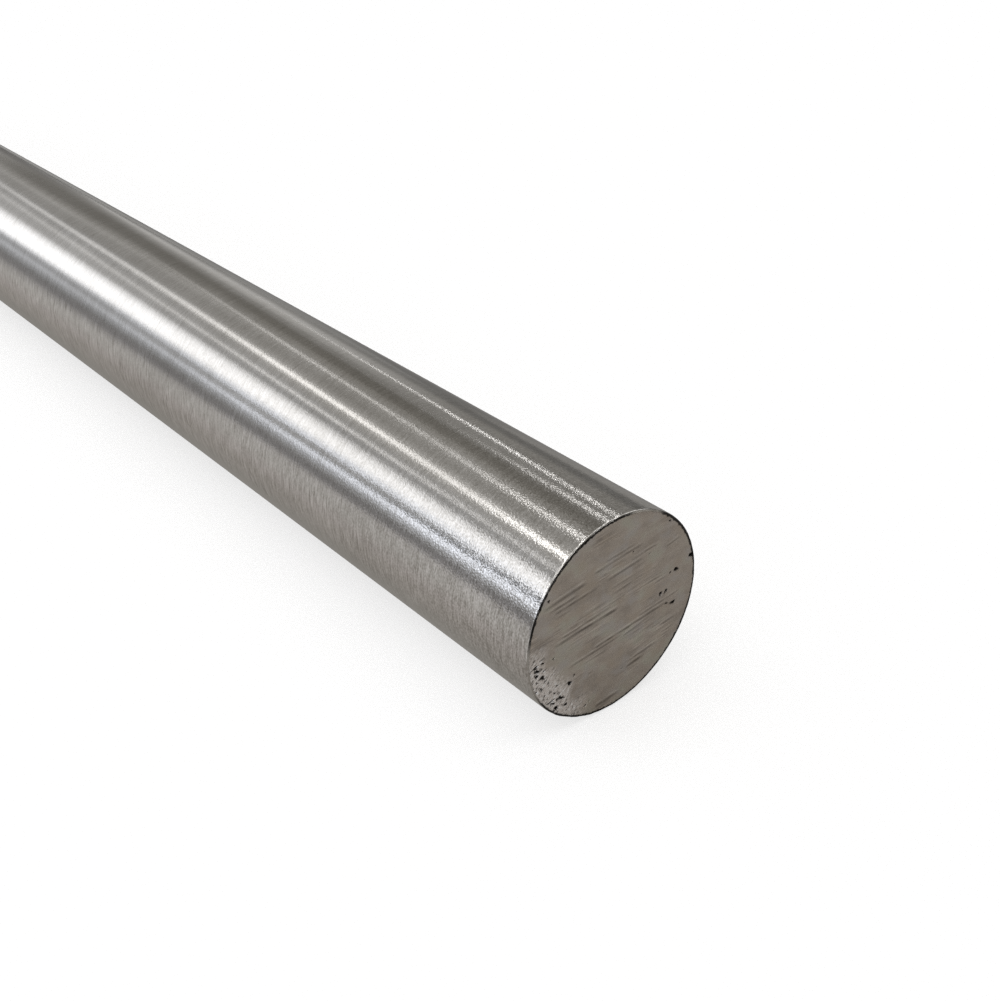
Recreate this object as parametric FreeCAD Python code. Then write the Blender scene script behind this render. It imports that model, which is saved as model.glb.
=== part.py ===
# Stainless steel round bar, bright ground finish, cut to a stock length with sawn ends.
# One solid, rolled, drawn and ground as one piece: nothing else is fixed to it.
#
# Row frame, millimetres: +Z up, +X along the bar's axis. The origin is on the axis, at the
# middle of the bar's length. The bar lies on its side on a level floor at Z = -DIAMETER / 2.
# The end at +X is the one seen face on from the front; the end at -X is sawn the same way.
# The saw's kerf lines (about 0.02 mm deep), the torn pits beside the rim and the grinding
# marks are finer than this model goes; they belong to the finish.

import FreeCAD
import Part
import os

# driving dimensions
DIAMETER = 25.0        # nominal stock diameter, over the ground surface
LENGTH = 300.0         # overall, sawn face to sawn face
EDGE_BREAK = 0.20      # 45 degree break where each sawn face meets the ground surface
SEAM_DEG = 90.0        # where the turned surface's seam lies, from +Y towards +Z: on top

R = DIAMETER / 2.0


def round_bar():
    """The whole bar as one turned solid: half of its long section, turned about its axis."""
    x0, x1 = -LENGTH / 2.0, LENGTH / 2.0
    outline = [
        (x0, 0.0),
        (x0, R - EDGE_BREAK),
        (x0 + EDGE_BREAK, R),
        (x1 - EDGE_BREAK, R),
        (x1, R - EDGE_BREAK),
        (x1, 0.0),
    ]
    points = [FreeCAD.Vector(x, r, 0.0) for x, r in outline]
    section = Part.Face(Part.makePolygon(points + points[:1]))
    section.rotate(FreeCAD.Vector(0, 0, 0), FreeCAD.Vector(1, 0, 0), SEAM_DEG)
    turned = section.revolve(FreeCAD.Vector(0, 0, 0), FreeCAD.Vector(1, 0, 0), 360.0)
    return turned.Solids[0]


def check(name, shape):
    """Stops on a broken solid, and prints the size and the volume against the formula."""
    assert shape.isValid(), name + " isn't valid"
    assert shape.isClosed(), name + " isn't closed"
    b = shape.BoundBox
    plain = 3.141592653589793 * R * R * LENGTH
    assert abs(shape.Volume / plain - 1.0) < 1e-3, name + " has the wrong volume"
    print("%s: %.2f x %.2f x %.2f mm, %.1f mm3, %d faces" % (
        name, b.XLength, b.YLength, b.ZLength, shape.Volume, len(shape.Faces)))


os.makedirs("parts", exist_ok=True)
bar = round_bar()
check("round_bar", bar)
bar.exportStep("parts/round_bar.step")
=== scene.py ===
import math

import bpy
import numpy as np
from mathutils import Matrix, Vector
from mathutils.geometry import delaunay_2d_cdt


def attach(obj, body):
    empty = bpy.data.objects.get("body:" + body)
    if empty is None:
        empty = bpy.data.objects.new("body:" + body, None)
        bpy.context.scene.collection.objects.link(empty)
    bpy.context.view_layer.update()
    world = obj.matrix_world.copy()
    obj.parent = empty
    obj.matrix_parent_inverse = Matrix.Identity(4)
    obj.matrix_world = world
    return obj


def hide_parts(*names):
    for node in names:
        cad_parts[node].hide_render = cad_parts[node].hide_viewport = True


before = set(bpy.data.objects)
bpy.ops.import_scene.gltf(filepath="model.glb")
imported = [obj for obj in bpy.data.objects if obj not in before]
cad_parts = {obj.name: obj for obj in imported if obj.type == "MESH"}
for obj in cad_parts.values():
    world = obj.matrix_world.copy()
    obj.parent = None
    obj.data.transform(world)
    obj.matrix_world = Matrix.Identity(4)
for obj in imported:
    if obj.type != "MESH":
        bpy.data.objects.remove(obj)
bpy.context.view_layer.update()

# ---------------------------------------------------------------- sizes, mm
R = 12.5  # radius of the ground surface
HALF = 150.0  # half the length
TURN = 240  # faces round the bar
RIM = 3 * TURN  # faces round each edge
SEAM = math.radians(-90.0)  # the map's seam runs along the underside
SAW = math.radians(6.0)  # the saw lines climb this much from level

# ---------------------------------------------------------------- camera
# 142 mm from the near end, looking down 31 degrees
right = Vector((0.64168, 0.76697, 0.0))
down = Vector((0.39399, -0.32963, -0.85797))
ahead = Vector((-0.65804, 0.55054, -0.51370))
cam = bpy.data.objects.new("camera", bpy.data.cameras.new("camera"))
bpy.context.scene.collection.objects.link(cam)
cam.matrix_world = Matrix.Translation((0.230164, -0.083288, 0.083335)) @ Matrix(
    (
        (right.x, -down.x, -ahead.x, 0),
        (right.y, -down.y, -ahead.y, 0),
        (right.z, -down.z, -ahead.z, 0),
        (0, 0, 0, 1),
    )
)
cam.data.sensor_width = 36.0
cam.data.lens = 1314.0 / 1001.0 * 36.0
cam.data.clip_start = 0.005
bpy.context.scene.camera = cam


# ---------------------------------------------------------------- seeded noise
def grid_noise(seed, u, v, cells_u=64, cells_v=64):
    """Smooth noise from -1 to 1. u and v count cells and wrap round after cells_u and cells_v."""
    t = np.random.default_rng(seed).uniform(-1, 1, (cells_u, cells_v))
    u, v = np.broadcast_arrays(np.asarray(u, float), np.asarray(v, float))
    iu, iv = np.floor(u).astype(int), np.floor(v).astype(int)
    fu, fv = u - iu, v - iv
    fu, fv = fu * fu * fu * (fu * (fu * 6 - 15) + 10), fv * fv * fv * (fv * (fv * 6 - 15) + 10)
    a, b = t[iu % cells_u, iv % cells_v], t[(iu + 1) % cells_u, iv % cells_v]
    c, d = t[iu % cells_u, (iv + 1) % cells_v], t[(iu + 1) % cells_u, (iv + 1) % cells_v]
    return (a * (1 - fu) + b * fu) * (1 - fv) + (c * (1 - fu) + d * fu) * fv


def step(lo, hi, x):
    t = np.clip((x - lo) / (hi - lo), 0, 1)
    return t * t * (3 - 2 * t)


# ---------------------------------------------------------------- the ground side
def side_radius(x, a):
    """Grinding leaves a bar a few microns out of round and out of straight, which shows only in its reflections."""
    n = grid_noise(3, (x + HALF) / 17.0, a / (2 * np.pi) * 9, 18, 9)
    n = n + 0.5 * grid_noise(4, (x + HALF) / 41.0, a / (2 * np.pi) * 4, 8, 4)
    return R - 0.0065 * (1 - n / 1.5) / 2


# ---------------------------------------------------------------- the sawn ends
# Every list is in mm on the end as seen from outside: across to the right, then up.
# Grooves: start, end, half width, depth.
NEAR_GROOVES = [
    ((-10.6, 5.35), (-4.0, 6.35), 0.23, 0.040),
    ((-10.0, 4.75), (-5.2, 5.30), 0.15, 0.024),
    ((-9.2, 4.25), (-2.6, 5.00), 0.16, 0.026),
    ((-9.0, 3.60), (-6.0, 3.90), 0.13, 0.014),
    ((-2.6, 6.10), (-1.0, 6.40), 0.16, 0.018),
    ((-1.8, 5.20), (4.2, 5.95), 0.18, 0.026),
    ((1.8, 6.35), (6.6, 6.90), 0.14, 0.016),
    ((6.9, 5.80), (10.0, 6.40), 0.14, 0.018),
    ((-3.8, 6.90), (4.1, 7.85), 0.16, 0.024),
    ((-2.2, 7.70), (3.0, 8.25), 0.13, 0.014),
    ((-1.2, 3.85), (3.2, 4.35), 0.14, 0.014),
    ((-0.8, 3.05), (2.8, 3.50), 0.12, 0.012),
    ((-9.2, 0.02), (0.9, 0.92), 0.22, 0.045),
    ((-8.2, 0.66), (-0.2, 1.62), 0.15, 0.024),
    ((-3.0, 1.70), (2.2, 2.30), 0.12, 0.010),
    ((-6.8, -3.75), (1.6, -2.95), 0.16, 0.028),
    ((-3.4, -3.00), (8.8, -1.70), 0.18, 0.030),
    ((-5.0, -4.35), (-0.6, -3.95), 0.12, 0.012),
    ((1.0, -3.40), (5.8, -2.45), 0.14, 0.020),
    ((3.4, -1.70), (10.4, -0.95), 0.13, 0.014),
    ((1.8, -8.05), (5.2, -7.55), 0.22, 0.042),
    ((2.8, -7.20), (7.2, -6.70), 0.17, 0.024),
    ((7.0, -4.70), (10.2, -4.30), 0.20, 0.032),
    ((7.0, -5.80), (9.9, -5.50), 0.14, 0.016),
    ((5.6, 1.62), (8.2, 2.00), 0.15, 0.020),
    ((-2.8, -11.30), (1.8, -10.85), 0.20, 0.030),
    ((-4.2, -6.10), (-2.6, -5.85), 0.15, 0.018),
    ((-4.0, -6.60), (-2.7, -6.45), 0.14, 0.018),
]
# Pits: middle, half length, half height, depth.
NEAR_PITS = [
    ((9.25, 2.10), 0.40, 0.24, 0.38),
    ((8.35, 2.05), 0.20, 0.15, 0.18),
    ((7.00, -0.22), 0.27, 0.25, 0.38),
    ((7.82, -0.24), 0.28, 0.26, 0.38),
    ((9.12, -2.28), 0.42, 0.24, 0.40),
    ((8.10, -2.00), 0.30, 0.13, 0.12),
    ((11.50, 3.06), 0.34, 0.27, 0.40),
    ((-9.72, 6.32), 0.20, 0.17, 0.22),
    ((2.24, 7.32), 0.15, 0.12, 0.12),
    ((4.76, 6.02), 0.18, 0.11, 0.10),
    ((-11.40, -1.40), 0.30, 0.24, 0.38),
    ((-10.40, -1.30), 0.26, 0.18, 0.26),
    ((-11.18, -1.98), 0.40, 0.20, 0.36),
    ((-10.38, -3.16), 0.32, 0.27, 0.38),
    ((-11.15, -2.66), 0.30, 0.24, 0.32),
    ((-10.28, -2.40), 0.26, 0.12, 0.18),
    ((-8.86, -1.38), 0.17, 0.15, 0.20),
    ((-11.10, -3.56), 0.19, 0.15, 0.20),
    ((-10.00, -3.90), 0.15, 0.12, 0.16),
    ((-11.20, -4.70), 0.17, 0.13, 0.18),
    ((-6.38, -5.92), 0.33, 0.26, 0.36),
    ((-5.80, -5.10), 0.18, 0.16, 0.22),
    ((-9.10, -7.08), 0.58, 0.17, 0.34),
    ((-8.82, -7.50), 0.34, 0.22, 0.34),
    ((-7.72, -7.30), 0.62, 0.19, 0.36),
    ((-8.22, -8.35), 0.30, 0.34, 0.36),
    ((-8.55, -8.60), 0.15, 0.14, 0.20),
    ((-5.80, -9.60), 0.15, 0.12, 0.12),
    ((-3.95, -10.25), 0.28, 0.17, 0.20),
    ((-3.40, -9.90), 0.15, 0.12, 0.12),
    ((1.60, -7.85), 0.12, 0.10, 0.10),
    ((7.70, 9.05), 0.24, 0.14, 0.14),
]
# Where the last of the metal tore instead of being cut: middle angle, half spread, reach in from the edge.
NEAR_TORN = (math.radians(212), math.radians(42), 4.3)
# Where the edge is painted bright as a highlight: middle angle, half spread, darkness left.
NEAR_RIM_HIGHLIGHTS = [(71, 12, 0.15), (191, 20, 0.40)]

FAR_GROOVES = [
    ((-9.8, 4.10), (3.4, 5.45), 0.15, 0.036),
    ((-6.2, 3.40), (8.9, 4.90), 0.12, 0.024),
    ((-8.4, 7.20), (-1.0, 7.90), 0.14, 0.028),
    ((1.0, 8.30), (6.4, 8.80), 0.11, 0.018),
    ((-11.4, 0.40), (-2.8, 1.25), 0.16, 0.040),
    ((-1.6, 1.00), (10.6, 2.25), 0.12, 0.026),
    ((3.2, -0.60), (11.0, 0.20), 0.15, 0.034),
    ((-10.4, -2.60), (-3.2, -1.90), 0.12, 0.024),
    ((-7.0, -4.60), (6.6, -3.10), 0.16, 0.038),
    ((-2.0, -5.60), (9.0, -4.50), 0.12, 0.022),
    ((-8.6, -7.90), (-1.0, -7.10), 0.13, 0.028),
    ((0.6, -8.60), (7.4, -7.90), 0.15, 0.032),
    ((-3.4, -10.60), (3.6, -9.90), 0.12, 0.024),
    ((-2.8, 10.30), (4.0, 10.90), 0.11, 0.016),
]
FAR_PITS = [
    ((-8.60, 2.70), 0.34, 0.22, 0.32),
    ((-7.70, 2.55), 0.20, 0.15, 0.20),
    ((5.20, 6.60), 0.22, 0.17, 0.24),
    ((3.10, -6.40), 0.32, 0.20, 0.30),
    ((-4.30, -9.10), 0.22, 0.15, 0.20),
    ((10.80, -2.90), 0.32, 0.22, 0.32),
    ((10.10, -4.40), 0.20, 0.20, 0.26),
    ((10.90, -4.90), 0.26, 0.18, 0.28),
    ((9.70, -5.60), 0.30, 0.13, 0.26),
    ((9.10, -7.10), 0.44, 0.14, 0.30),
    ((8.30, -8.10), 0.24, 0.20, 0.28),
    ((7.10, -8.70), 0.32, 0.14, 0.24),
    ((-11.80, 2.40), 0.34, 0.28, 0.36),
    ((1.20, 3.10), 0.14, 0.11, 0.12),
]
FAR_TORN = (math.radians(-34), math.radians(34), 3.0)
# Where the far edge is painted bright as a highlight, as above.
FAR_RIM_HIGHLIGHTS = [(124, 15, 0.20), (285, 22, 0.35)]


class End:
    """One sawn end. Places on it are (across, up) in mm as seen from outside; sign is which end of the bar it is."""

    def __init__(self, sign, grooves, pits, torn, rubbed, seed):
        self.sign, self.grooves, self.pits, self.torn, self.rubbed, self.seed = sign, grooves, pits, torn, rubbed, seed

    def torn_at(self, u, w):
        middle, spread, reach = self.torn
        a = np.arctan2(w, u)
        off = np.abs((a - middle + np.pi) % (2 * np.pi) - np.pi)
        r = np.hypot(u, w)
        reach = reach * (1 + 0.35 * grid_noise(self.seed + 1, a * 5, 0 * a))
        return step(spread, 0.55 * spread, off) * step(R - reach, R - 0.45 * reach, r)

    def breaks(self, a):
        """How far the edge break reaches, in from the side and back from the face, at angle a."""
        turn = a / (2 * np.pi)
        n = 0.6 * grid_noise(self.seed + 2, turn * 110, 0.5, 110, 1)
        n = n + 0.4 * grid_noise(self.seed + 3, turn * 260, 0.5, 260, 1)
        slow = grid_noise(self.seed + 4, turn * 11, 0.5, 11, 1)
        middle, spread, _ = self.torn
        off = np.abs((a - middle + np.pi) % (2 * np.pi) - np.pi)
        rough = 0.35 + 0.65 * step(1.6 * spread, 0.5 * spread, off)
        inwards = 0.175 + 0.025 * slow + 0.075 * n * rough
        back = 0.165 + 0.020 * slow + 0.050 * n * rough
        return inwards, back

    def depth(self, u, w):
        """How far the cut lies under the end plane."""
        ca, sa = math.cos(SAW), math.sin(SAW)
        along, across = u * ca + w * sa, w * ca - u * sa
        across = across + 0.10 * np.sin(along / 5.3 + self.seed) + 0.05 * np.sin(along / 2.1)
        s = self.seed
        # the blade's slow wander, then its tooth marks, each a few millimetres long
        d = 0.030 + 0.010 * grid_noise(s + 5, along / 14 + 9, across / 4.5 + 9)
        d = d + 0.0036 * grid_noise(s + 6, along / 7.0 + 9, across / 0.80 + 20)
        d = d + 0.0024 * grid_noise(s + 7, along / 4.0 + 9, across / 0.42 + 40, 64, 128)
        d = d + 0.0013 * grid_noise(s + 8, along / 2.4 + 9, across / 0.26 + 60, 64, 128)
        for (u0, w0), (u1, w1), half, deep in self.grooves:
            long = math.hypot(u1 - u0, w1 - w0)
            t = ((u - u0) * (u1 - u0) + (w - w0) * (w1 - w0)) / long
            o = ((w - w0) * (u1 - u0) - (u - u0) * (w1 - w0)) / long
            o = o + 0.035 * grid_noise(s + 9, t / 1.3 + 7, w0 + 0 * t)
            ends = step(0.0, 0.9, t) * step(0.0, 1.4, long - t)
            ends = ends * (0.72 + 0.28 * grid_noise(s + 10, t / 0.9 + 5, w0 * 3 + 0 * t))
            d = d + ends * 1.4 * deep * (np.exp(-((o / (0.95 * half)) ** 2)) - 0.34 * np.exp(-(((o - 2.0 * half) / (0.7 * half)) ** 2)))
        # the torn part: small steps and lifted flakes
        torn = self.torn_at(u, w)
        tu, tw = u * 0.81 + w * 0.59, w * 0.81 - u * 0.59
        bumps = grid_noise(s + 11, tu / 0.56 + 40, tw / 0.26 + 80, 128, 256)
        fine = grid_noise(s + 12, tu / 0.26 + 120, tw / 0.15 + 160, 512, 512)
        d = d + torn * (0.020 + 0.040 * step(0.10, 0.60, bumps) - 0.014 * step(-0.10, -0.60, bumps) + 0.018 * fine)
        return np.maximum(d + self.pit_depth(u, w), 0.004)

    def pit_depth(self, u, w):
        d = np.zeros(len(u))
        for k, ((pu, pw), hu, hw, deep) in enumerate(self.pits):
            du, dw = u - pu, w - pw
            tilt = 0.25 * math.sin(7.3 * k + self.seed)
            du, dw = du * math.cos(tilt) + dw * math.sin(tilt), dw * math.cos(tilt) - du * math.sin(tilt)
            g = np.hypot(du / hu, dw / hw)
            th = np.arctan2(dw / hw, du / hu)
            g = g * (1 + 0.16 * np.sin(2 * th + k) + 0.12 * np.sin(3 * th + 2.1 * k) + 0.07 * np.sin(5 * th + 0.7 * k))
            d = d + deep * step(1.15, 0.45, g) - 0.012 * np.exp(-(((g - 1.45) / 0.3) ** 2))
        return d

    def in_groove(self, u, w):
        """0.5 on open ground, up to 1 in the bottoms of the grooves, down to 0 on the ridge beside each: the colour
        paints shade into the bottoms and a highlight onto the ridges.
        """
        ca, sa = math.cos(SAW), math.sin(SAW)
        worst, top = np.zeros(len(u)), np.zeros(len(u))
        for (u0, w0), (u1, w1), half, deep in self.grooves:
            long = math.hypot(u1 - u0, w1 - w0)
            t = ((u - u0) * (u1 - u0) + (w - w0) * (w1 - w0)) / long
            o = ((w - w0) * (u1 - u0) - (u - u0) * (w1 - w0)) / long
            o = o + 0.035 * grid_noise(self.seed + 9, t / 1.3 + 7, w0 + 0 * t)
            ends = step(0.0, 0.9, t) * step(0.0, 1.4, long - t)
            ends = ends * (0.72 + 0.28 * grid_noise(self.seed + 10, t / 0.9 + 5, w0 * 3 + 0 * t))
            force = ends * min(1.0, 0.35 + deep / 0.05)
            worst = np.maximum(worst, force * np.exp(-((o / (0.92 * half)) ** 2)))
            top = np.maximum(top, force * np.exp(-(((o - 2.0 * half) / (0.66 * half)) ** 2)))
            top = np.maximum(top, 0.6 * force * np.exp(-(((o + 1.5 * half) / (0.42 * half)) ** 2)))
        return 0.5 + 0.5 * worst - 0.5 * top * (1 - worst)

    def painted_rim_darkness(self, a):
        """How dark the edge is painted at angle a, as a painted dark reflection: two stretches of it are painted bright
        as highlights.
        """
        dark = np.ones_like(a)
        for middle, spread, left in self.rubbed:
            off = np.abs((a - math.radians(middle) + np.pi) % (2 * np.pi) - np.pi)
            dark = np.minimum(dark, left + (1 - left) * step(0.6 * math.radians(spread), 1.2 * math.radians(spread), off))
        return dark

    def margin(self, a):
        """How far in the painted dark margin of the edge, a painted dark reflection, reaches at angle a."""
        off = np.abs((a - math.radians(-38 if self.sign > 0 else 70) + np.pi) % (2 * np.pi) - np.pi)
        return 0.24 + 0.24 * step(math.radians(118), math.radians(72), off)

    def points(self, edge):
        """Places for the vertices inside the edge ring: rows along the saw lines, with more of them round pits and in the torn part."""
        rng = np.random.default_rng(self.seed)
        ca, sa = math.cos(SAW), math.sin(SAW)
        rows = []
        dw, du = 0.125, 0.40
        for j, w in enumerate(np.arange(-12.4, 12.41, dw)):
            us = np.arange(-12.6, 12.6, du) + (0.5 * du if j % 2 else 0.0)
            rows.append(np.stack([us + rng.uniform(-0.03, 0.03, len(us)), np.full(len(us), w)], 1))
        p = np.concatenate(rows)
        p = np.stack([p[:, 0] * ca - p[:, 1] * sa, p[:, 0] * sa + p[:, 1] * ca], 1)
        extra = []
        g = np.arange(-R, R, 0.115)
        gu, gw = np.meshgrid(g, g)
        gu, gw = gu.ravel() + rng.uniform(-0.02, 0.02, gu.size), gw.ravel() + rng.uniform(-0.02, 0.02, gu.size)
        there = self.torn_at(gu, gw) > 0.12
        extra.append(np.stack([gu[there], gw[there]], 1))
        keep = self.torn_at(p[:, 0], p[:, 1]) <= 0.12
        p = p[keep]
        for (pu, pw), hu, hw, deep in self.pits:
            st = max(0.05, min(hu, hw) / 3.4)
            a, b = np.meshgrid(np.arange(-1.7 * hu, 1.7 * hu + st, st), np.arange(-1.7 * hw, 1.7 * hw + st, st))
            inside = np.hypot(a / hu, b / hw) <= 1.65
            block = np.stack([pu + a[inside], pw + b[inside]], 1)
            near = lambda q: np.hypot((q[:, 0] - pu) / hu, (q[:, 1] - pw) / hw) > 1.75
            p = p[near(p)]
            extra = [e[near(e)] for e in extra] + [block]
        rows = []
        for (u0, w0), (u1, w1), half, deep in self.grooves:
            long = math.hypot(u1 - u0, w1 - w0)
            tu, tw = (u1 - u0) / long, (w1 - w0) / long

            def beside(q, tu=tu, tw=tw, u0=u0, w0=w0, half=half, long=long):
                t, o = (q[:, 0] - u0) * tu + (q[:, 1] - w0) * tw, (q[:, 1] - w0) * tu - (q[:, 0] - u0) * tw
                return (t < -0.1) | (t > long + 0.1) | (o < -1.75 * half) | (o > 2.75 * half)

            p = p[beside(p)]
            rows = [r[beside(r)] for r in rows]
            for j, o in enumerate((-1.3, -0.75, -0.35, 0.0, 0.35, 0.75, 1.25, 1.9, 2.5)):
                t = np.arange(0.16 * (j % 2), long, 0.32)
                rows.append(np.stack([u0 + tu * t - tw * o * half, w0 + tw * t + tu * o * half], 1))
        for row in rows:
            row = row[self.torn_at(row[:, 0], row[:, 1]) <= 0.12]
            for (pu, pw), hu, hw, deep in self.pits:
                row = row[np.hypot((row[:, 0] - pu) / hu, (row[:, 1] - pw) / hw) > 1.75]
            extra.append(row)
        p = np.concatenate([p] + extra)
        # stay clear of the edge ring
        a = np.arctan2(p[:, 1], p[:, 0]) % (2 * np.pi)
        ring = np.interp(a, np.append(edge[0], 2 * np.pi), np.append(edge[1], edge[1][0]))
        return p[np.hypot(p[:, 0], p[:, 1]) < ring - 0.07]


verts, faces, mats, uvs = [], [], [], []  # uvs: one list of (u, v) per face
count = 0


def add(points):
    global count
    first = count
    verts.append(np.asarray(points, float))
    count += len(points)
    return first


# Map: 1024 px. Three side strips of 100 mm, long along the bar and pressed round it, because the grinding
# marks are fine along the bar only. The ends are stretched across their saw lines in the same way.
PX = 1.0 / 1024
STRIP_U0, STRIP_U1, STRIP_H, STRIP_GAP = 6 * PX, 1018 * PX, 246 * PX, 8 * PX


def side_uv(x, turn, strip):
    """x in mm, turn from 0 to 1 from the seam, strip 0 to 2 along the bar."""
    u = STRIP_U0 + (STRIP_U1 - STRIP_U0) * (x + HALF - 100.0 * strip) / 100.0
    v = 6 * PX + strip * (STRIP_H + STRIP_GAP) + STRIP_H * turn
    return u, v


def end_uv(sign, u, w, r_out):
    """u, w in mm on the end, pushed out to r_out; the map's U runs across the saw lines."""
    ca, sa = math.cos(SAW), math.sin(SAW)
    r = np.hypot(u, w)
    k = np.where(r > 0, r_out / np.maximum(r, 1e-9), 1)
    u, w = u * k, w * k
    along, across = u * ca + w * sa, w * ca - u * sa
    cu = (0.25 if sign > 0 else 0.75) + across / 25.8 * 0.485
    cv = (6 + 3 * 246 + 3 * 8 + 123) * PX + along / 25.8 * 240 * PX * -1
    return cu, cv


ends = {
    1: End(1, NEAR_GROOVES, NEAR_PITS, NEAR_TORN, NEAR_RIM_HIGHLIGHTS, 100),
    -1: End(-1, FAR_GROOVES, FAR_PITS, FAR_TORN, FAR_RIM_HIGHLIGHTS, 200),
}

# side rings
xs = [149.45, 149.20, 148.6, 147.5, 145.0, 141.0]
xs = xs + list(np.linspace(137.0, -137.0, 56)) + [-x for x in xs[::-1]]
xs = sorted(set(round(float(x), 4) for x in xs) | {-50.0, 50.0})
turns = np.arange(TURN) / TURN
angles = SEAM + 2 * np.pi * turns
ring_at = {}
for x in xs:
    rr = side_radius(x, angles % (2 * np.pi))
    ring_at[x] = add(np.stack([np.full(TURN, x), rr * np.cos(angles), rr * np.sin(angles)], 1))
for x0, x1 in zip(xs[:-1], xs[1:]):
    a, b = ring_at[x0], ring_at[x1]
    strip = min(2, int((0.5 * (x0 + x1) + HALF) // 100))
    for i in range(TURN):
        j = (i + 1) % TURN
        faces.append((a + j, b + j, b + i, a + i))
        t0, t1 = i / TURN, (i + 1) / TURN
        uvs.append([side_uv(x0, t1, strip), side_uv(x1, t1, strip), side_uv(x1, t0, strip), side_uv(x0, t0, strip)])
        mats.append(0)

rim_turns = np.arange(RIM) / RIM
rim_angles = SEAM + 2 * np.pi * rim_turns
for sign, end in ends.items():
    # angle on the end as seen from outside: the far end is seen from the other side
    cosr, sinr = np.cos(rim_angles), np.sin(rim_angles)
    seen = np.arctan2(sinr, sign * cosr) % (2 * np.pi)
    inwards, back = end.breaks(seen)
    pit = end.depth((R - 0.18) * np.cos(seen), (R - 0.18) * np.sin(seen))
    chip = np.clip(pit - 0.14, 0, 0.16)
    inwards = inwards + 0.35 * chip
    back = back + 0.35 * chip
    edge_depth = end.depth((R - inwards) * np.cos(seen), (R - inwards) * np.sin(seen))
    strip = 2 if sign > 0 else 0
    rings = []
    profile = (
        (None, 0.0), (2.15, 0.010), (1.72, 0.065), (1.40, 0.125), (1.16, 0.19), (1.0, 0.26), (0.80, 0.37),
        (0.58, 0.51), (0.36, 0.67), (0.16, 0.83), (0.0, 1.0),
    )
    for back_by, in_by in profile:
        if back_by is None:
            x, r = np.full(RIM, 149.56), side_radius(149.45, rim_angles % (2 * np.pi))
        else:
            x = HALF - edge_depth - back * back_by
            r = side_radius(149.45, rim_angles % (2 * np.pi)) - inwards * in_by
            x = np.minimum(x, HALF - 0.004)
        rings.append((add(np.stack([sign * x, r * cosr, r * sinr], 1)), x, r))
    # the coarse side ring to the fine rim ring
    a, b = ring_at[sign * 149.45], rings[0][0]
    for i in range(TURN):
        j = (i + 1) % TURN
        f = [b + (3 * i + k) % RIM for k in range(4)]
        for tri in ((a + i, f[0], f[1]), (a + i, f[1], a + j), (a + j, f[1], f[2]), (a + j, f[2], f[3])):
            spots = {
                a + i: (sign * 149.45, i / TURN), a + j: (sign * 149.45, (i + 1) / TURN),
                f[0]: (sign * 149.56, (3 * i) / RIM), f[1]: (sign * 149.56, (3 * i + 1) / RIM),
                f[2]: (sign * 149.56, (3 * i + 2) / RIM), f[3]: (sign * 149.56, (3 * i + 3) / RIM),
            }
            tri = tri if sign < 0 else tri[::-1]
            faces.append(tri)
            uvs.append([side_uv(*spots[v], strip) for v in tri])
            mats.append(0)
    # the edge's own rings
    for k in range(len(rings) - 1):
        (a, xa, ra), (b, xb, rb) = rings[k], rings[k + 1]
        for i in range(RIM):
            j = (i + 1) % RIM
            quad = [(a + i, xa[i], ra[i], i), (b + i, xb[i], rb[i], i), (b + j, xb[j], rb[j], i + 1), (a + j, xa[j], ra[j], i + 1)]
            quad = quad if sign < 0 else quad[::-1]
            faces.append(tuple(q[0] for q in quad))
            if k < 5:
                spots = [149.56 + 0.085 * (k if q[0] < b else k + 1) for q in quad]
                uvs.append([side_uv(sign * x, q[3] / RIM, strip) for x, q in zip(spots, quad)])
                mats.append(0)
            else:
                face_uv = []
                for _, x, r, n in quad:
                    t = SEAM + 2 * np.pi * n / RIM
                    out = r + (HALF - x) * 0.9
                    face_uv.append(end_uv(sign, sign * math.cos(t), math.sin(t), out))
                uvs.append(face_uv)
                mats.append(2)
    # the sawn face
    last, xl, rl = rings[-1]
    order = np.argsort(seen)
    points = end.points((seen[order], rl[order]))
    ring2d = np.stack([rl * np.cos(seen), rl * np.sin(seen)], 1)
    squash = 2.6  # triangles long along the saw lines
    ca, sa = math.cos(SAW), math.sin(SAW)

    def pressed(q):
        return np.stack([(q[:, 0] * ca + q[:, 1] * sa) / squash, q[:, 1] * ca - q[:, 0] * sa], 1)

    loop = list(range(RIM)) if sign > 0 else list(range(RIM))[::-1]
    flat = pressed(np.concatenate([ring2d, points]))
    got = delaunay_2d_cdt([Vector(q) for q in flat], [], [loop], 1, 1e-7)
    made, tris, origin = got[0], got[2], got[3]
    spot = [o[0] if len(o) else -1 for o in origin]
    inner = add(np.stack([sign * (HALF - end.depth(points[:, 0], points[:, 1])), sign * points[:, 0], points[:, 1]], 1))
    both = np.concatenate([ring2d, points])
    for t in tris:
        ids = [spot[v] for v in t]
        p, q, s = both[ids[0]], both[ids[1]], both[ids[2]]
        turned = (q[0] - p[0]) * (s[1] - p[1]) - (q[1] - p[1]) * (s[0] - p[0])
        if turned < 0:
            ids = ids[::-1]
        faces.append(tuple(last + v if v < RIM else inner + v - RIM for v in ids))
        uvs.append([end_uv(sign, both[v][0], both[v][1], math.hypot(*both[v])) for v in ids])
        mats.append(1)
    print("END", sign, "points", len(points), "triangles", len(tris), "missed", sum(1 for v in spot if v < 0))

co = np.concatenate(verts) / 1000.0
mesh = bpy.data.meshes.new("bar")
mesh.from_pydata([tuple(v) for v in co], [], faces)
mesh.update()
mesh.validate()
layer = mesh.uv_layers.new(name="OFBake")
flat_uv = np.array([c for f in uvs for c in f], dtype=np.float32)
layer.data.foreach_set("uv", flat_uv.ravel())
mesh.polygons.foreach_set("material_index", np.array(mats, dtype=np.int32))
mesh.polygons.foreach_set("use_smooth", np.ones(len(faces), dtype=bool))
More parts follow.
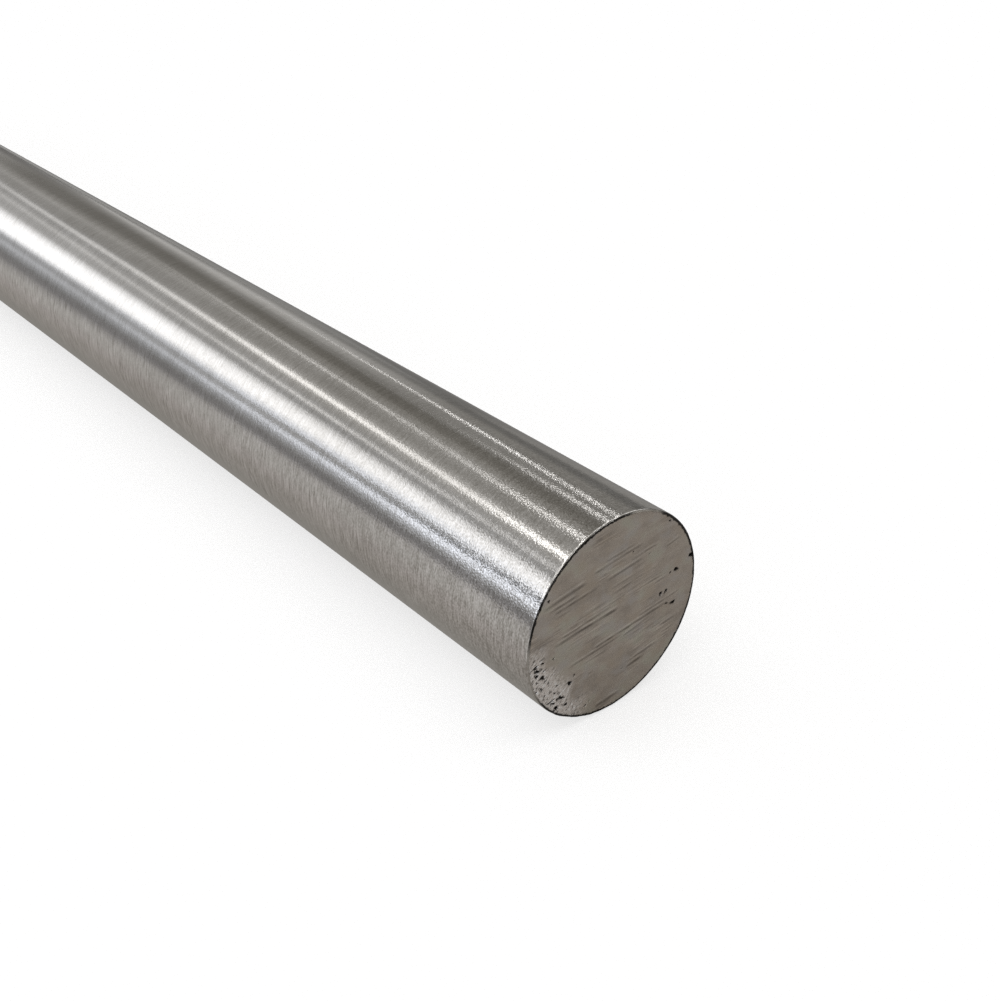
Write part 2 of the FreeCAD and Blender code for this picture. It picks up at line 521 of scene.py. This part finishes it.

# which parts of the surface are pitted or torn, for the colour: it paints shade into the pits, and highlights and shade
# onto the torn flakes
pitted = np.zeros(len(co), dtype=np.float32)
torn = np.zeros(len(co), dtype=np.float32)
mm = co * 1000.0
for sign, end in ends.items():
    here = (sign * mm[:, 0] > 149.0)
    u, w = sign * mm[here, 1], mm[here, 2]
    on_face = np.hypot(u, w) < R - 0.1
    pitted[here] = step(0.05, 0.12, end.pit_depth(u, w)) * on_face
    torn[here] = end.torn_at(u, w) * on_face
# how far each point lies in a groove bottom or on the ridge beside it, for painted shade and highlights
groove_shade_and_highlight = np.full(len(co), 0.5, dtype=np.float32)
painted_rim_darkness = np.zeros(len(co), dtype=np.float32)
margin = np.zeros(len(co), dtype=np.float32)
for sign, end in ends.items():
    here = (sign * mm[:, 0] > 149.0) & (np.hypot(mm[:, 1], mm[:, 2]) < R - 0.1)
    groove_shade_and_highlight[here] = end.in_groove(sign * mm[here, 1], mm[here, 2])
    here = sign * mm[:, 0] > 149.0
    a = np.arctan2(mm[here, 2], sign * mm[here, 1])
    # how dark the edge and its margin are painted: a painted dark reflection, with two stretches painted bright as
    # highlights
    painted_rim_darkness[here], margin[here] = end.painted_rim_darkness(a), end.margin(a)
for name, values in (("pitted", pitted), ("torn", torn), ("groove_shade_and_highlight", groove_shade_and_highlight), ("painted_rim_darkness", painted_rim_darkness), ("margin", margin)):
    mesh.attributes.new(name, "FLOAT", "POINT").data.foreach_set("value", values)

bar = bpy.data.objects.new("round_bar_ground", mesh)
bpy.context.scene.collection.objects.link(bar)


# ---------------------------------------------------------------- materials
class Nodes:
    def __init__(self, tree):
        self.tree = tree
        tree.nodes.clear()

    def new(self, kind, **values):
        n = self.tree.nodes.new(kind)
        for k, v in values.items():
            setattr(n, k, v)
        return n

    def link(self, a, b):
        self.tree.links.new(a, b)

    def put(self, socket, value):
        if isinstance(value, bpy.types.NodeSocket):
            self.link(value, socket)
        else:
            socket.default_value = value

    def math(self, op, a, b=None, c=None, clamp=False):
        n = self.new("ShaderNodeMath", operation=op, use_clamp=clamp)
        for i, v in enumerate((a, b, c)):
            if v is not None:
                self.put(n.inputs[i], v)
        return n.outputs[0]

    def scaled(self, vector, by):
        n = self.new("ShaderNodeVectorMath", operation="MULTIPLY")
        self.link(vector, n.inputs[0])
        n.inputs[1].default_value = by
        return n.outputs[0]

    def noise(self, vector, detail=2.0, rough=0.5, scale=1.0):
        n = self.new("ShaderNodeTexNoise")
        self.link(vector, n.inputs["Vector"])
        n.inputs["Scale"].default_value = scale
        n.inputs["Detail"].default_value = detail
        n.inputs["Roughness"].default_value = rough
        return n.outputs["Fac"]

    def ramp(self, fac, stops, mode="LINEAR"):
        n = self.new("ShaderNodeValToRGB")
        n.color_ramp.interpolation = mode
        els = n.color_ramp.elements
        while len(els) > 1:
            els.remove(els[0])
        els[0].position, els[0].color = stops[0][0], (*stops[0][1], 1)
        for pos, col in stops[1:]:
            els.new(pos).color = (*col, 1)
        self.put(n.inputs["Fac"], fac)
        return n.outputs["Color"]

    def span(self, value, lo, hi, to_lo=0.0, to_hi=1.0):
        n = self.new("ShaderNodeMapRange")
        n.clamp = True
        self.put(n.inputs["Value"], value)
        n.inputs["From Min"].default_value, n.inputs["From Max"].default_value = lo, hi
        n.inputs["To Min"].default_value, n.inputs["To Max"].default_value = to_lo, to_hi
        return n.outputs["Result"]

    def mix(self, fac, a, b):
        n = self.new("ShaderNodeMix", data_type="RGBA")
        self.put(n.inputs["Factor"], fac)
        for name, v in (("A", a), ("B", b)):
            s = [i for i in n.inputs if i.name == name and i.type == "RGBA"][0]
            self.put(s, v if isinstance(v, bpy.types.NodeSocket) else (*v, 1))
        return [o for o in n.outputs if o.type == "RGBA"][0]

    def bump(self, height, distance, strength=1.0, normal=None):
        n = self.new("ShaderNodeBump")
        self.link(height, n.inputs["Height"])
        n.inputs["Distance"].default_value = distance
        n.inputs["Strength"].default_value = strength
        if normal is not None:
            self.link(normal, n.inputs["Normal"])
        return n.outputs["Normal"]

    def attribute(self, name):
        return self.new("ShaderNodeAttribute", attribute_name=name, attribute_type="GEOMETRY").outputs["Fac"]

    def metal(self, aniso):
        out = self.new("ShaderNodeOutputMaterial")
        p = self.new("ShaderNodeBsdfPrincipled")
        p.inputs["Metallic"].default_value = 1.0
        p.inputs["Anisotropic"].default_value = aniso
        self.link(p.outputs[0], out.inputs["Surface"])
        return p


def material(name):
    m = bpy.data.materials.new(name)
    m.use_nodes = True
    return m, Nodes(m.node_tree)


def ground_steel():
    """Centreless ground: fine marks run round the bar, over a fine grain that glitters where a reflection ends."""
    m, n = material("ground_stainless")
    p = n.metal(0.75)
    where = n.new("ShaderNodeTexCoord").outputs["Object"]
    mm = n.scaled(where, (1000, 1000, 1000))
    marks = n.noise(n.scaled(mm, (7.0, 0.95, 0.95)), 2.0, 0.6)
    bands = n.noise(n.scaled(mm, (1.7, 0.22, 0.22)), 2.0, 0.55)
    streak = n.noise(n.scaled(mm, (3.4, 0.42, 0.42)), 1.0, 0.5)
    grain = n.noise(n.scaled(mm, (4.8, 4.4, 4.4)), 1.0, 0.5)
    cloud = n.noise(n.scaled(mm, (0.05, 0.10, 0.10)), 2.0, 0.5)
    patch = n.noise(n.scaled(mm, (0.30, 0.16, 0.16)), 2.0, 0.5)
    # the marks are plainest along the flanks, in patches
    xyz = n.new("ShaderNodeSeparateXYZ")
    n.link(mm, xyz.inputs[0])
    flank = n.span(n.math("ABSOLUTE", xyz.outputs["Y"]), 11.2, 12.2, 0.36, 1.0)
    plain = n.math("MULTIPLY", flank, n.span(patch, 0.38, 0.60, 0.45, 1.0))
    swing = n.math("MULTIPLY", n.math("SUBTRACT", marks, 0.5), 0.66)
    swing = n.math("ADD", swing, n.math("MULTIPLY", n.math("SUBTRACT", streak, 0.5), 0.62))
    swing = n.math("MULTIPLY", swing, plain)
    slow = n.math("ADD", n.math("MULTIPLY", bands, 0.12), n.math("MULTIPLY", cloud, 0.16))
    # the grain is coarsest at the ends, where the wheel runs off
    off = n.math("ABSOLUTE", xyz.outputs["X"])
    coarse = n.math("ADD", n.span(off, 131.0, 139.0, 0.0, 0.50), n.span(off, 112.0, 124.0, 0.0, 0.40))
    coarse = n.math("ADD", coarse, n.span(off, 72.0, 92.0, 0.62, 0.88))
    aside = n.math("ABSOLUTE", xyz.outputs["Y"])
    coarse = n.math("MULTIPLY", coarse, n.math("ADD", n.span(aside, 5.2, 6.4, 1.0, 0.75), n.span(aside, 8.6, 10.6, 0.0, 0.55)))
    speck = n.noise(n.scaled(mm, (5.5, 3.6, 3.6)), 1.0, 0.5)
    slow = n.math("ADD", slow, n.math("MULTIPLY", n.math("SUBTRACT", speck, 0.5), n.math("MULTIPLY", coarse, 0.30)))
    tone = n.math("ADD", n.math("ADD", slow, swing), 0.362)
    col = n.ramp(tone, [(0.30, (0.400, 0.382, 0.352)), (0.50, (0.625, 0.608, 0.583)), (0.70, (0.850, 0.834, 0.814))])
    n.link(col, p.inputs["Base Color"])
    n.link(n.span(marks, 0.3, 0.7, 0.085, 0.115), p.inputs["Roughness"])
    b = n.bump(marks, 1.8e-6)
    b = n.bump(bands, 1.2e-6, normal=b)
    b = n.bump(n.math("MULTIPLY", n.math("SUBTRACT", grain, 0.5), coarse), 7.3e-6, normal=b)
    n.link(b, p.inputs["Normal"])
    t = n.new("ShaderNodeTangent", direction_type="UV_MAP", uv_map="OFBake")
    n.link(t.outputs["Tangent"], p.inputs["Tangent"])
    return m


def sawn_steel():
    """Sawn: matt and smooth between the grooves that are cut into the shape, with finer lines in places."""
    m, n = material("sawn_stainless")
    p = n.metal(0.40)
    where = n.new("ShaderNodeTexCoord").outputs["Object"]
    mm = n.scaled(where, (1000, 1000, 1000))
    turn = n.new("ShaderNodeVectorRotate", rotation_type="X_AXIS")
    n.link(mm, turn.inputs["Vector"])
    turn.inputs["Angle"].default_value = -SAW
    lines = n.noise(n.scaled(turn.outputs[0], (0.02, 0.22, 4.4)), 2.0, 0.6)
    broad = n.noise(n.scaled(turn.outputs[0], (0.02, 0.10, 0.85)), 2.0, 0.5)
    where_lined = n.noise(n.scaled(turn.outputs[0], (0.02, 0.13, 0.26)), 1.0, 0.5)
    grit = n.noise(n.scaled(mm, (1.0, 3.0, 4.0)), 2.0, 0.6)
    patch = n.noise(n.scaled(mm, (0.1, 0.22, 0.30)), 3.0, 0.55)
    cast = n.noise(n.scaled(mm, (0.3, 0.34, 0.42)), 2.0, 0.55)
    torn, pitted = n.attribute("torn"), n.attribute("pitted")
    lined = n.span(where_lined, 0.50, 0.64, 0.05, 1.0)
    swing = n.math("MULTIPLY", n.math("MULTIPLY", n.math("SUBTRACT", lines, 0.5), lined), 0.70)
    tone = n.math("ADD", n.math("MULTIPLY", broad, 0.12), n.math("MULTIPLY", grit, 0.13))
    tone = n.math("ADD", tone, n.math("MULTIPLY", patch, 0.36))
    tone = n.math("ADD", n.math("ADD", tone, swing), 0.205)
    col = n.ramp(tone, [(0.36, (0.300, 0.260, 0.226)), (0.50, (0.500, 0.443, 0.388)), (0.64, (0.689, 0.619, 0.551))])
    # the cut shows a greyer, cooler cast in places
    col = n.mix(n.span(patch, 0.52, 0.64, 0.0, 0.50), col, (0.495, 0.502, 0.421))
    col = n.mix(n.span(cast, 0.54, 0.66, 0.0, 0.55), col, (0.513, 0.440, 0.363))
    col = n.mix(n.span(cast, 0.46, 0.34, 0.0, 0.55), col, (0.529, 0.498, 0.478))
    # torn metal: slanting flakes, with painted highlights on their lifted edges and painted shade in the hollows
    # between them
    slant = n.new("ShaderNodeVectorRotate", rotation_type="X_AXIS")
    n.link(mm, slant.inputs["Vector"])
    slant.inputs["Angle"].default_value = -0.63
    flake = n.noise(n.scaled(slant.outputs[0], (0.5, 1.9, 5.2)), 2.0, 0.6)
    chip = n.noise(n.scaled(slant.outputs[0], (0.5, 1.1, 2.4)), 1.0, 0.5)
    col = n.mix(n.math("MULTIPLY", torn, 0.90), col, (0.864, 0.808, 0.768))
    col = n.mix(n.math("MULTIPLY", n.span(flake, 0.55, 0.62, 0.0, 1.0), torn), col, (0.98, 0.97, 0.96))
    col = n.mix(n.math("MULTIPLY", n.span(flake, 0.45, 0.37, 0.0, 0.80), torn), col, (0.12, 0.11, 0.10))
    col = n.mix(n.math("MULTIPLY", n.span(chip, 0.345, 0.30), torn), col, (0.03, 0.028, 0.026))
    # painted shade in the bottoms of the grooves and a painted highlight on the ridges beside them
    groove = n.attribute("groove_shade_and_highlight")
    col = n.mix(n.span(groove, 0.52, 0.96, 0.0, 0.66), col, (0.075, 0.062, 0.052))
    col = n.mix(n.span(groove, 0.47, 0.0, 0.0, 0.50), col, (0.92, 0.87, 0.80))
    # a dark, uneven margin along the edge, painted in as a dark reflection and left off where the edge is painted
    # bright as a highlight
    xyz = n.new("ShaderNodeSeparateXYZ")
    n.link(mm, xyz.inputs[0])
    r2 = n.math("ADD", n.math("POWER", xyz.outputs["Y"], 2.0), n.math("POWER", xyz.outputs["Z"], 2.0))
    reach = n.math("ADD", n.math("SQRT", r2), n.math("MULTIPLY", n.math("SUBTRACT", n.noise(mm, 2.0, 0.6, 2.2), 0.5), 0.50))
    reach = n.math("ADD", reach, n.attribute("margin"))
    margin = n.math("MULTIPLY", n.span(reach, 12.46, 12.58), n.attribute("painted_rim_darkness"))
    col = n.mix(n.math("MULTIPLY", margin, 0.96), col, (0.016, 0.014, 0.013))
    # the pits painted nearly black: painted shade in the hollows
    col = n.mix(pitted, col, (0.012, 0.011, 0.010))
    n.link(col, p.inputs["Base Color"])
    n.link(n.span(n.math("ADD", lines, grit), 0.7, 1.3, 0.44, 0.58), p.inputs["Roughness"])
    b = n.bump(n.math("MULTIPLY", lines, lined), 1.2e-5)
    b = n.bump(grit, 1.0e-5, normal=b)
    n.link(b, p.inputs["Normal"])
    t = n.new("ShaderNodeTangent", direction_type="UV_MAP", uv_map="OFBake")
    n.link(t.outputs["Tangent"], p.inputs["Tangent"])
    return m


def edge_steel():
    """The broken edge where the ground side meets the cut: dull and painted nearly black as a dark reflection, but for
    two stretches painted bright as highlights.
    """
    m, n = material("edge_stainless")
    p = n.metal(0.0)
    where = n.new("ShaderNodeTexCoord").outputs["Object"]
    mm = n.scaled(where, (1000, 1000, 1000))
    bits = n.noise(n.scaled(mm, (5.0, 3.0, 3.0)), 2.0, 0.6)
    dark = n.ramp(bits, [(0.35, (0.012, 0.011, 0.010)), (0.55, (0.030, 0.028, 0.026)), (0.70, (0.16, 0.15, 0.14))])
    # the edge painted nearly black as a dark reflection, and painted bright as a highlight along the two stretches
    col = n.mix(n.attribute("painted_rim_darkness"), (0.72, 0.68, 0.62), dark)
    n.link(col, p.inputs["Base Color"])
    n.link(n.span(bits, 0.3, 0.7, 0.52, 0.40), p.inputs["Roughness"])
    n.link(n.bump(bits, 1.2e-5), p.inputs["Normal"])
    return m


for mat in (ground_steel(), sawn_steel(), edge_steel()):
    mesh.materials.append(mat)

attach(bar, "root")
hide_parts("round_bar")


# ---------------------------------------------------------------- floor
def floor():
    """Plain and pale. The camera sees it nearly white; the metal mirrors it greyer, as in the photograph."""
    rings, seg = [0.0, 0.05, 0.12, 0.3, 0.8, 2.0, 5.0], 48
    v, f = [(0, 0, 0)], []
    for r in rings[1:]:
        v += [(r * math.cos(2 * math.pi * i / seg), r * math.sin(2 * math.pi * i / seg), 0) for i in range(seg)]
    for i in range(seg):
        f.append((0, 1 + i, 1 + (i + 1) % seg))
    for k in range(len(rings) - 2):
        a, b = 1 + k * seg, 1 + (k + 1) * seg
        for i in range(seg):
            j = (i + 1) % seg
            f.append((a + i, b + i, b + j, a + j))
    me = bpy.data.meshes.new("floor")
    me.from_pydata(v, [], f)
    o = bpy.data.objects.new("floor", me)
    bpy.context.scene.collection.objects.link(o)
    o.location = (0, 0, -R / 1000 - 0.00002)
    m, n = material("floor")
    out = n.new("ShaderNodeOutputMaterial")
    ray = n.new("ShaderNodeLightPath")
    seen = n.new("ShaderNodeBsdfDiffuse")
    seen.inputs["Color"].default_value = (0.44, 0.44, 0.438, 1)
    glow = n.new("ShaderNodeEmission")
    glow.inputs["Color"].default_value = (1, 1, 1, 1)
    glow.inputs["Strength"].default_value = 0.66
    both = n.new("ShaderNodeAddShader")
    n.link(seen.outputs[0], both.inputs[0])
    n.link(glow.outputs[0], both.inputs[1])
    across = n.new("ShaderNodeSeparateXYZ")
    n.link(n.new("ShaderNodeTexCoord").outputs["Object"], across.inputs[0])
    # From here on, the level that the metal mirrors is an emission painted with light and shade: darker next to the bar
    # as a painted contact shadow, lightest some way out, darker again further off, with more painted shading behind and
    # beyond the bar.
    out_by = n.span(n.math("ABSOLUTE", across.outputs["Y"]), 0.0, 0.15)
    level = n.ramp(out_by, [
        (0.02, (0.245, 0.233, 0.216)), (0.08, (0.296, 0.283, 0.262)), (0.10, (0.336, 0.316, 0.296)), (0.13, (0.368, 0.347, 0.326)),
        (0.16, (0.426, 0.400, 0.385)), (0.20, (0.456, 0.436, 0.420)), (0.27, (0.490, 0.478, 0.462)), (0.50, (0.508, 0.495, 0.486)),
        (0.70, (0.340, 0.332, 0.336)), (0.86, (0.292, 0.286, 0.294)), (1.0, (0.245, 0.241, 0.247)),
    ])
    distant = n.math("MULTIPLY", n.span(across.outputs["X"], 0.06, -0.06, 0.0, 0.40), n.span(out_by, 0.30, 0.45))
    level = n.mix(distant, level, (0.235, 0.232, 0.232))
    behind = n.ramp(out_by, [
        (0.02, (0.250, 0.240, 0.225)), (0.10, (0.250, 0.242, 0.229)), (0.30, (0.235, 0.227, 0.218)), (0.60, (0.225, 0.219, 0.214)),
        (1.0, (0.220, 0.216, 0.212)),
    ])
    behind = n.mix(n.span(across.outputs["X"], 0.06, -0.04), behind, (0.205, 0.201, 0.197))
    # further off it is painted darker and lighter aslant, as painted shade and light
    aslant = n.math("ADD", across.outputs["X"], n.math("ABSOLUTE", across.outputs["Y"]))
    shades = n.ramp(n.span(aslant, -0.26, 0.24), [
        (0.00, (0.140, 0.138, 0.135)), (0.11, (0.190, 0.188, 0.184)), (0.20, (0.430, 0.425, 0.411)), (0.35, (0.355, 0.351, 0.340)),
        (0.45, (0.290, 0.287, 0.278)), (0.56, (0.265, 0.262, 0.254)), (0.64, (0.255, 0.252, 0.244)), (0.70, (0.180, 0.177, 0.171)),
        (0.77, (0.185, 0.181, 0.174)), (0.83, (0.275, 0.268, 0.256)), (1.00, (0.295, 0.288, 0.274)),
    ])
    behind = n.mix(n.span(n.math("ABSOLUTE", across.outputs["Y"]), 0.055, 0.080), behind, shades)
    level = n.mix(n.span(across.outputs["Y"], -0.004, 0.004), level, behind)
    beyond = n.math("MULTIPLY", n.span(across.outputs["X"], -0.150, -0.160), n.span(n.math("ABSOLUTE", across.outputs["Y"]), 0.10, 0.05))
    beyond = n.math("ADD", beyond, n.span(across.outputs["X"], 0.150, 0.160))
    level = n.mix(beyond, level, (0.400, 0.392, 0.380))
    mirrored = n.new("ShaderNodeEmission")
    n.link(level, mirrored.inputs["Color"])
    pick = n.new("ShaderNodeMixShader")
    n.link(ray.outputs["Is Camera Ray"], pick.inputs[0])
    n.link(mirrored.outputs[0], pick.inputs[1])
    n.link(both.outputs[0], pick.inputs[2])
    n.link(pick.outputs[0], out.inputs["Surface"])
    me.materials.append(m)
    return o


floor()


# ---------------------------------------------------------------- studio light
def surround():
    """A grey studio with a row of strip lights overhead, at an angle to the bar, and one large soft window low on the left."""
    world = bpy.data.worlds.new("studio")
    bpy.context.scene.world = world
    world.use_nodes = True
    n = Nodes(world.node_tree)
    d = n.new("ShaderNodeTexCoord").outputs["Generated"]
    xyz = n.new("ShaderNodeSeparateXYZ")
    n.link(d, xyz.inputs[0])
    x, y, z = xyz.outputs
    zc = n.math("MAXIMUM", z, 0.02)

    def g(v, warm=0.0):
        return (v * (1 + 0.5 * warm), v, v * (1 - warm))

    def row(value, lo, hi, stops):
        return n.ramp(n.span(value, lo, hi), [((a - lo) / (hi - lo), c) for a, c in stops])

    def strips(value, base, lamps):
        """Strip lights (middle, half width, soft edge, level) over a soft base."""
        for middle, half, soft, level in lamps:
            away = n.math("ABSOLUTE", n.math("SUBTRACT", value, middle))
            lit = n.new("ShaderNodeVectorMath", operation="ADD")
            n.link(base, lit.inputs[0])
            n.link(n.span(away, half + soft, half, 0.0, level), lit.inputs[1])
            base = lit.outputs[0]
        return base

    q = n.math("DIVIDE", n.math("ADD", y, n.math("MULTIPLY", x, 0.52)), zc)
    # the strip nearest the window stands a little askew
    far_off = n.math("ABSOLUTE", x)
    askew = n.math("ADD", n.span(far_off, 0.604, 0.655, -0.045, 0.085), n.span(far_off, 0.655, 0.72, 0.0, 0.012))
    askew = n.math("ADD", askew, n.math("ADD", n.span(far_off, 0.72, 0.80, 0.0, 0.065), n.span(far_off, 0.80, 0.905, 0.0, 0.075)))
    askew = n.math("MULTIPLY", askew, n.span(q, 0.30, 0.60))
    q1 = n.math("SUBTRACT", q, askew)
    near = row(q1, -2.0, 2.8, [
        (-2.00, g(0.50)), (-1.60, g(0.34)), (-1.36, g(0.44)), (-1.20, g(0.46)), (-1.12, g(0.40, .02)), (-1.02, g(0.44, .03)), (-0.95, g(0.49, .03)),
        (-0.75, g(0.52, .03)), (-0.66, g(0.39, .04)), (-0.56, g(0.32, .05)), (-0.42, g(0.37, .04)), (-0.26, g(0.34, .05)), (-0.16, g(0.29, .07)),
        (-0.09, g(0.190, .09)), (0.08, g(0.170, .09)), (0.16, g(0.25, .05)), (0.30, g(0.27, .05)), (0.41, g(0.25, .05)), (0.51, g(0.31, .04)),
        (0.58, g(0.31, .04)), (0.65, g(0.235, .05)), (0.82, g(0.245, .06)), (1.45, g(0.265, .06)), (2.00, g(0.20, .05)), (2.80, g(0.165, .04)),
    ])
    # middle, half width, soft edge, level over the end and levels further on
    for middle, half, soft, first, later, last_level in (
        (-1.285, 0.022, 0.030, 0.70, 0.70, 0.80), (-0.846, 0.032, 0.040, 2.20, 0.74, 1.34), (-0.332, 0.012, 0.012, 2.65, 0.54, 0.82),
        (0.248, 0.008, 0.012, 2.60, 0.05, 0.0), (0.582, 0.006, 0.008, 5.20, 5.50, 4.70),
    ):
        off = n.math("ABSOLUTE", n.math("SUBTRACT", q1, middle))
        lit = n.new("ShaderNodeVectorMath", operation="ADD")
        n.link(near, lit.inputs[0])
        power = n.math("ADD", n.span(far_off, 0.62, 0.67, first, later), n.span(far_off, 0.68, 0.75, 0.0, last_level - later))
        n.link(n.math("MULTIPLY", n.span(off, half + soft, half), power), lit.inputs[1])
        near = lit.outputs[0]
    # the one nearest the window has a soft shoulder further on
    shoulder = n.math("MULTIPLY", n.span(q1, 0.58, 0.62), n.span(q1, 0.66, 0.90, 0.075, 0.0))
    lit = n.new("ShaderNodeVectorMath", operation="ADD")
    n.link(near, lit.inputs[0])
    n.link(n.math("MULTIPLY", shoulder, n.span(far_off, 0.67, 0.70)), lit.inputs[1])
    near = lit.outputs[0]
    # further along, the strips are dimmer and broader
    drift = n.math("ADD", n.span(far_off, 0.80, 0.87, 0.0, 0.09), n.span(far_off, 0.87, 0.912, 0.0, 0.46))
    q2 = n.math("ADD", q, n.math("MULTIPLY", drift, n.span(q, -1.3, -0.3)))
    away = strips(q2, row(q2, -2.0, 2.8, [
        (-2.00, g(0.60)), (-1.52, g(0.48)), (-1.40, g(0.50)), (-1.16, g(0.48)), (-1.04, g(0.40)), (-0.96, g(0.44)), (-0.80, g(0.42)),
        (-0.70, g(0.34, .03)), (-0.50, g(0.36, .03)), (-0.40, g(0.44, .03)), (-0.30, g(0.30, .05)), (-0.16, g(0.19, .07)), (0.02, g(0.19, .07)),
        (0.16, g(0.28, .04)), (0.40, g(0.41, .03)), (0.64, g(0.49, .03)), (0.88, g(0.53, .02)), (1.36, g(0.475, .02)), (2.80, g(0.36, .03)),
    ]), [(-1.28, 0.03, 0.05, 0.30), (-0.87, 0.04, 0.05, 0.36)])
    along = n.span(far_off, 0.775, 0.865)
    sooner = n.span(far_off, 0.685, 0.80)
    high = n.math("MULTIPLY", n.span(q, 0.26, 0.36), n.span(q, 1.30, 2.00, 1.0, 0.55))
    over = n.mix(n.mix(high, along, sooner), near, away)
    # low on the left: the angle about the bar, 180 at the horizon
    phi = n.math("MULTIPLY", n.math("ARCTAN2", n.math("MAXIMUM", z, 0.0), y), 180 / math.pi)
    # past the far end it is dim low on the right
    dim = n.math("MULTIPLY", n.span(far_off, 0.882, 0.905), n.span(phi, 17.0, 8.0))
    over = n.mix(dim, over, (0.200, 0.194, 0.188))
    slid = n.math("MULTIPLY", n.span(far_off, 0.62, 0.68, 0.0, 3.0), n.span(phi, 163.0, 159.0))
    slid = n.math("ADD", slid, n.math("MULTIPLY", n.span(far_off, 0.69, 0.76, 0.0, 1.4), n.span(phi, 163.0, 165.0)))
    low_near = row(n.math("ADD", phi, slid), 140.0, 184.0, [
        (142.0, g(1.36, -.02)), (150.0, g(1.44, -.02)), (153.0, g(1.46, -.04)), (156.0, g(1.42, -.06)),
        (158.8, g(1.26, -.08)), (161.0, g(0.11, -.10)), (163.8, g(0.12, -.10)), (166.5, g(1.40, -.10)), (169.5, g(1.68, -.10)),
        (171.5, g(0.92, -.09)), (176.0, g(0.55, -.06)), (179.0, g(0.43, -.02)), (181.0, g(0.39)), (184.0, g(0.36)),
    ])
    dip = n.math("ABSOLUTE", n.math("SUBTRACT", phi, 160.5))
    dip = n.math("MULTIPLY", n.span(dip, 5.0, 1.5), n.span(far_off, 0.62, 0.72, 0.0, 0.40))
    lit = n.new("ShaderNodeVectorMath", operation="ADD")
    n.link(low_near, lit.inputs[0])
    sill = n.math("ADD", n.span(phi, 147.0, 153.5, 0.0, -0.30), n.span(phi, 154.5, 158.0, 0.0, 0.27))
    sill = n.math("MULTIPLY", sill, n.span(far_off, 0.61, 0.68))
    head = n.math("MULTIPLY", n.span(phi, 149.0, 143.0, 0.0, 0.16), n.span(far_off, 0.69, 0.75))
    n.link(n.math("ADD", dip, n.math("ADD", sill, head)), lit.inputs[1])
    low_near = lit.outputs[0]
    low_away = row(phi, 140.0, 184.0, [
        (142.0, g(1.70, -.03)), (146.0, g(1.62, -.03)), (149.5, g(1.28, -.04)), (152.0, g(0.88, -.05)), (155.0, g(0.52, -.05)),
        (158.0, g(0.42, -.04)), (161.0, g(0.46, -.05)), (164.5, g(0.61, -.06)), (167.5, g(0.58, -.06)), (170.5, g(0.43, -.05)),
        (176.0, g(0.31, -.03)), (180.0, g(0.22)), (184.0, g(0.21)),
    ])
    # two more strips stand across the bar's ends, which only their edges mirror here
    across = n.span(n.math("ABSOLUTE", n.math("SUBTRACT", far_off, 0.435)), 0.075, 0.045)
    across = n.math("MULTIPLY", across, n.span(z, 0.10, 0.30, 0.0, 0.9))
    lowest = n.span(phi, 161.0, 165.0)
    low = n.mix(n.mix(lowest, along, n.span(far_off, 0.68, 0.86)), low_near, low_away)
    window = n.math("DIVIDE", n.math("ADD", y, n.math("MULTIPLY", x, 0.30)), zc)
    window = n.math("ADD", window, n.math("ADD", n.span(far_off, 0.59, 0.69, 0.140, 0.0), n.span(far_off, 0.69, 0.77, 0.0, -0.081)))
    inside = n.ramp(n.span(window, -1.20, -1.90), [(a, (v, v, v)) for a, v in ((0.0, 0.0), (0.14, 0.02), (0.26, 0.28), (0.40, 0.52), (0.64, 0.84), (1.0, 1.0))])
    sky = n.mix(inside, over, low)
    lit = n.new("ShaderNodeVectorMath", operation="ADD")
    n.link(sky, lit.inputs[0])
    n.link(across, lit.inputs[1])
    sky = lit.outputs[0]
    # below the horizon it is the floor's level
    sky = n.mix(n.span(z, 0.0, -0.01), sky, (0.24, 0.23, 0.22))
    ray = n.new("ShaderNodeLightPath")
    sky = n.mix(ray.outputs["Is Camera Ray"], sky, (1.0, 1.0, 1.0))
    bg = n.new("ShaderNodeBackground")
    n.link(sky, bg.inputs["Color"])
    out = n.new("ShaderNodeOutputWorld")
    n.link(bg.outputs[0], out.inputs["Surface"])


def softbox(name, place, aim, size, power):
    light = bpy.data.lights.new(name, "AREA")
    light.shape = "RECTANGLE"
    light.size, light.size_y = size
    light.energy = power
    o = bpy.data.objects.new(name, light)
    bpy.context.scene.collection.objects.link(o)
    o.location = place
    o.rotation_euler = (Vector(aim) - Vector(place)).to_track_quat("-Z", "Y").to_euler()
    o.visible_camera = False
    o.visible_glossy = False
    return o


softbox("overhead", (0.16, -0.03, 1.30), (0.16, -0.03, 0.0), (1.1, 2.1), 6.0)
surround()

scene = bpy.context.scene
scene.cycles.use_denoising = False  # it smears the grain of the metal
scene.view_settings.view_transform = "Standard"
scene.view_settings.look = "None"
scene.view_settings.exposure = 0.0
scene.view_settings.gamma = 1.0
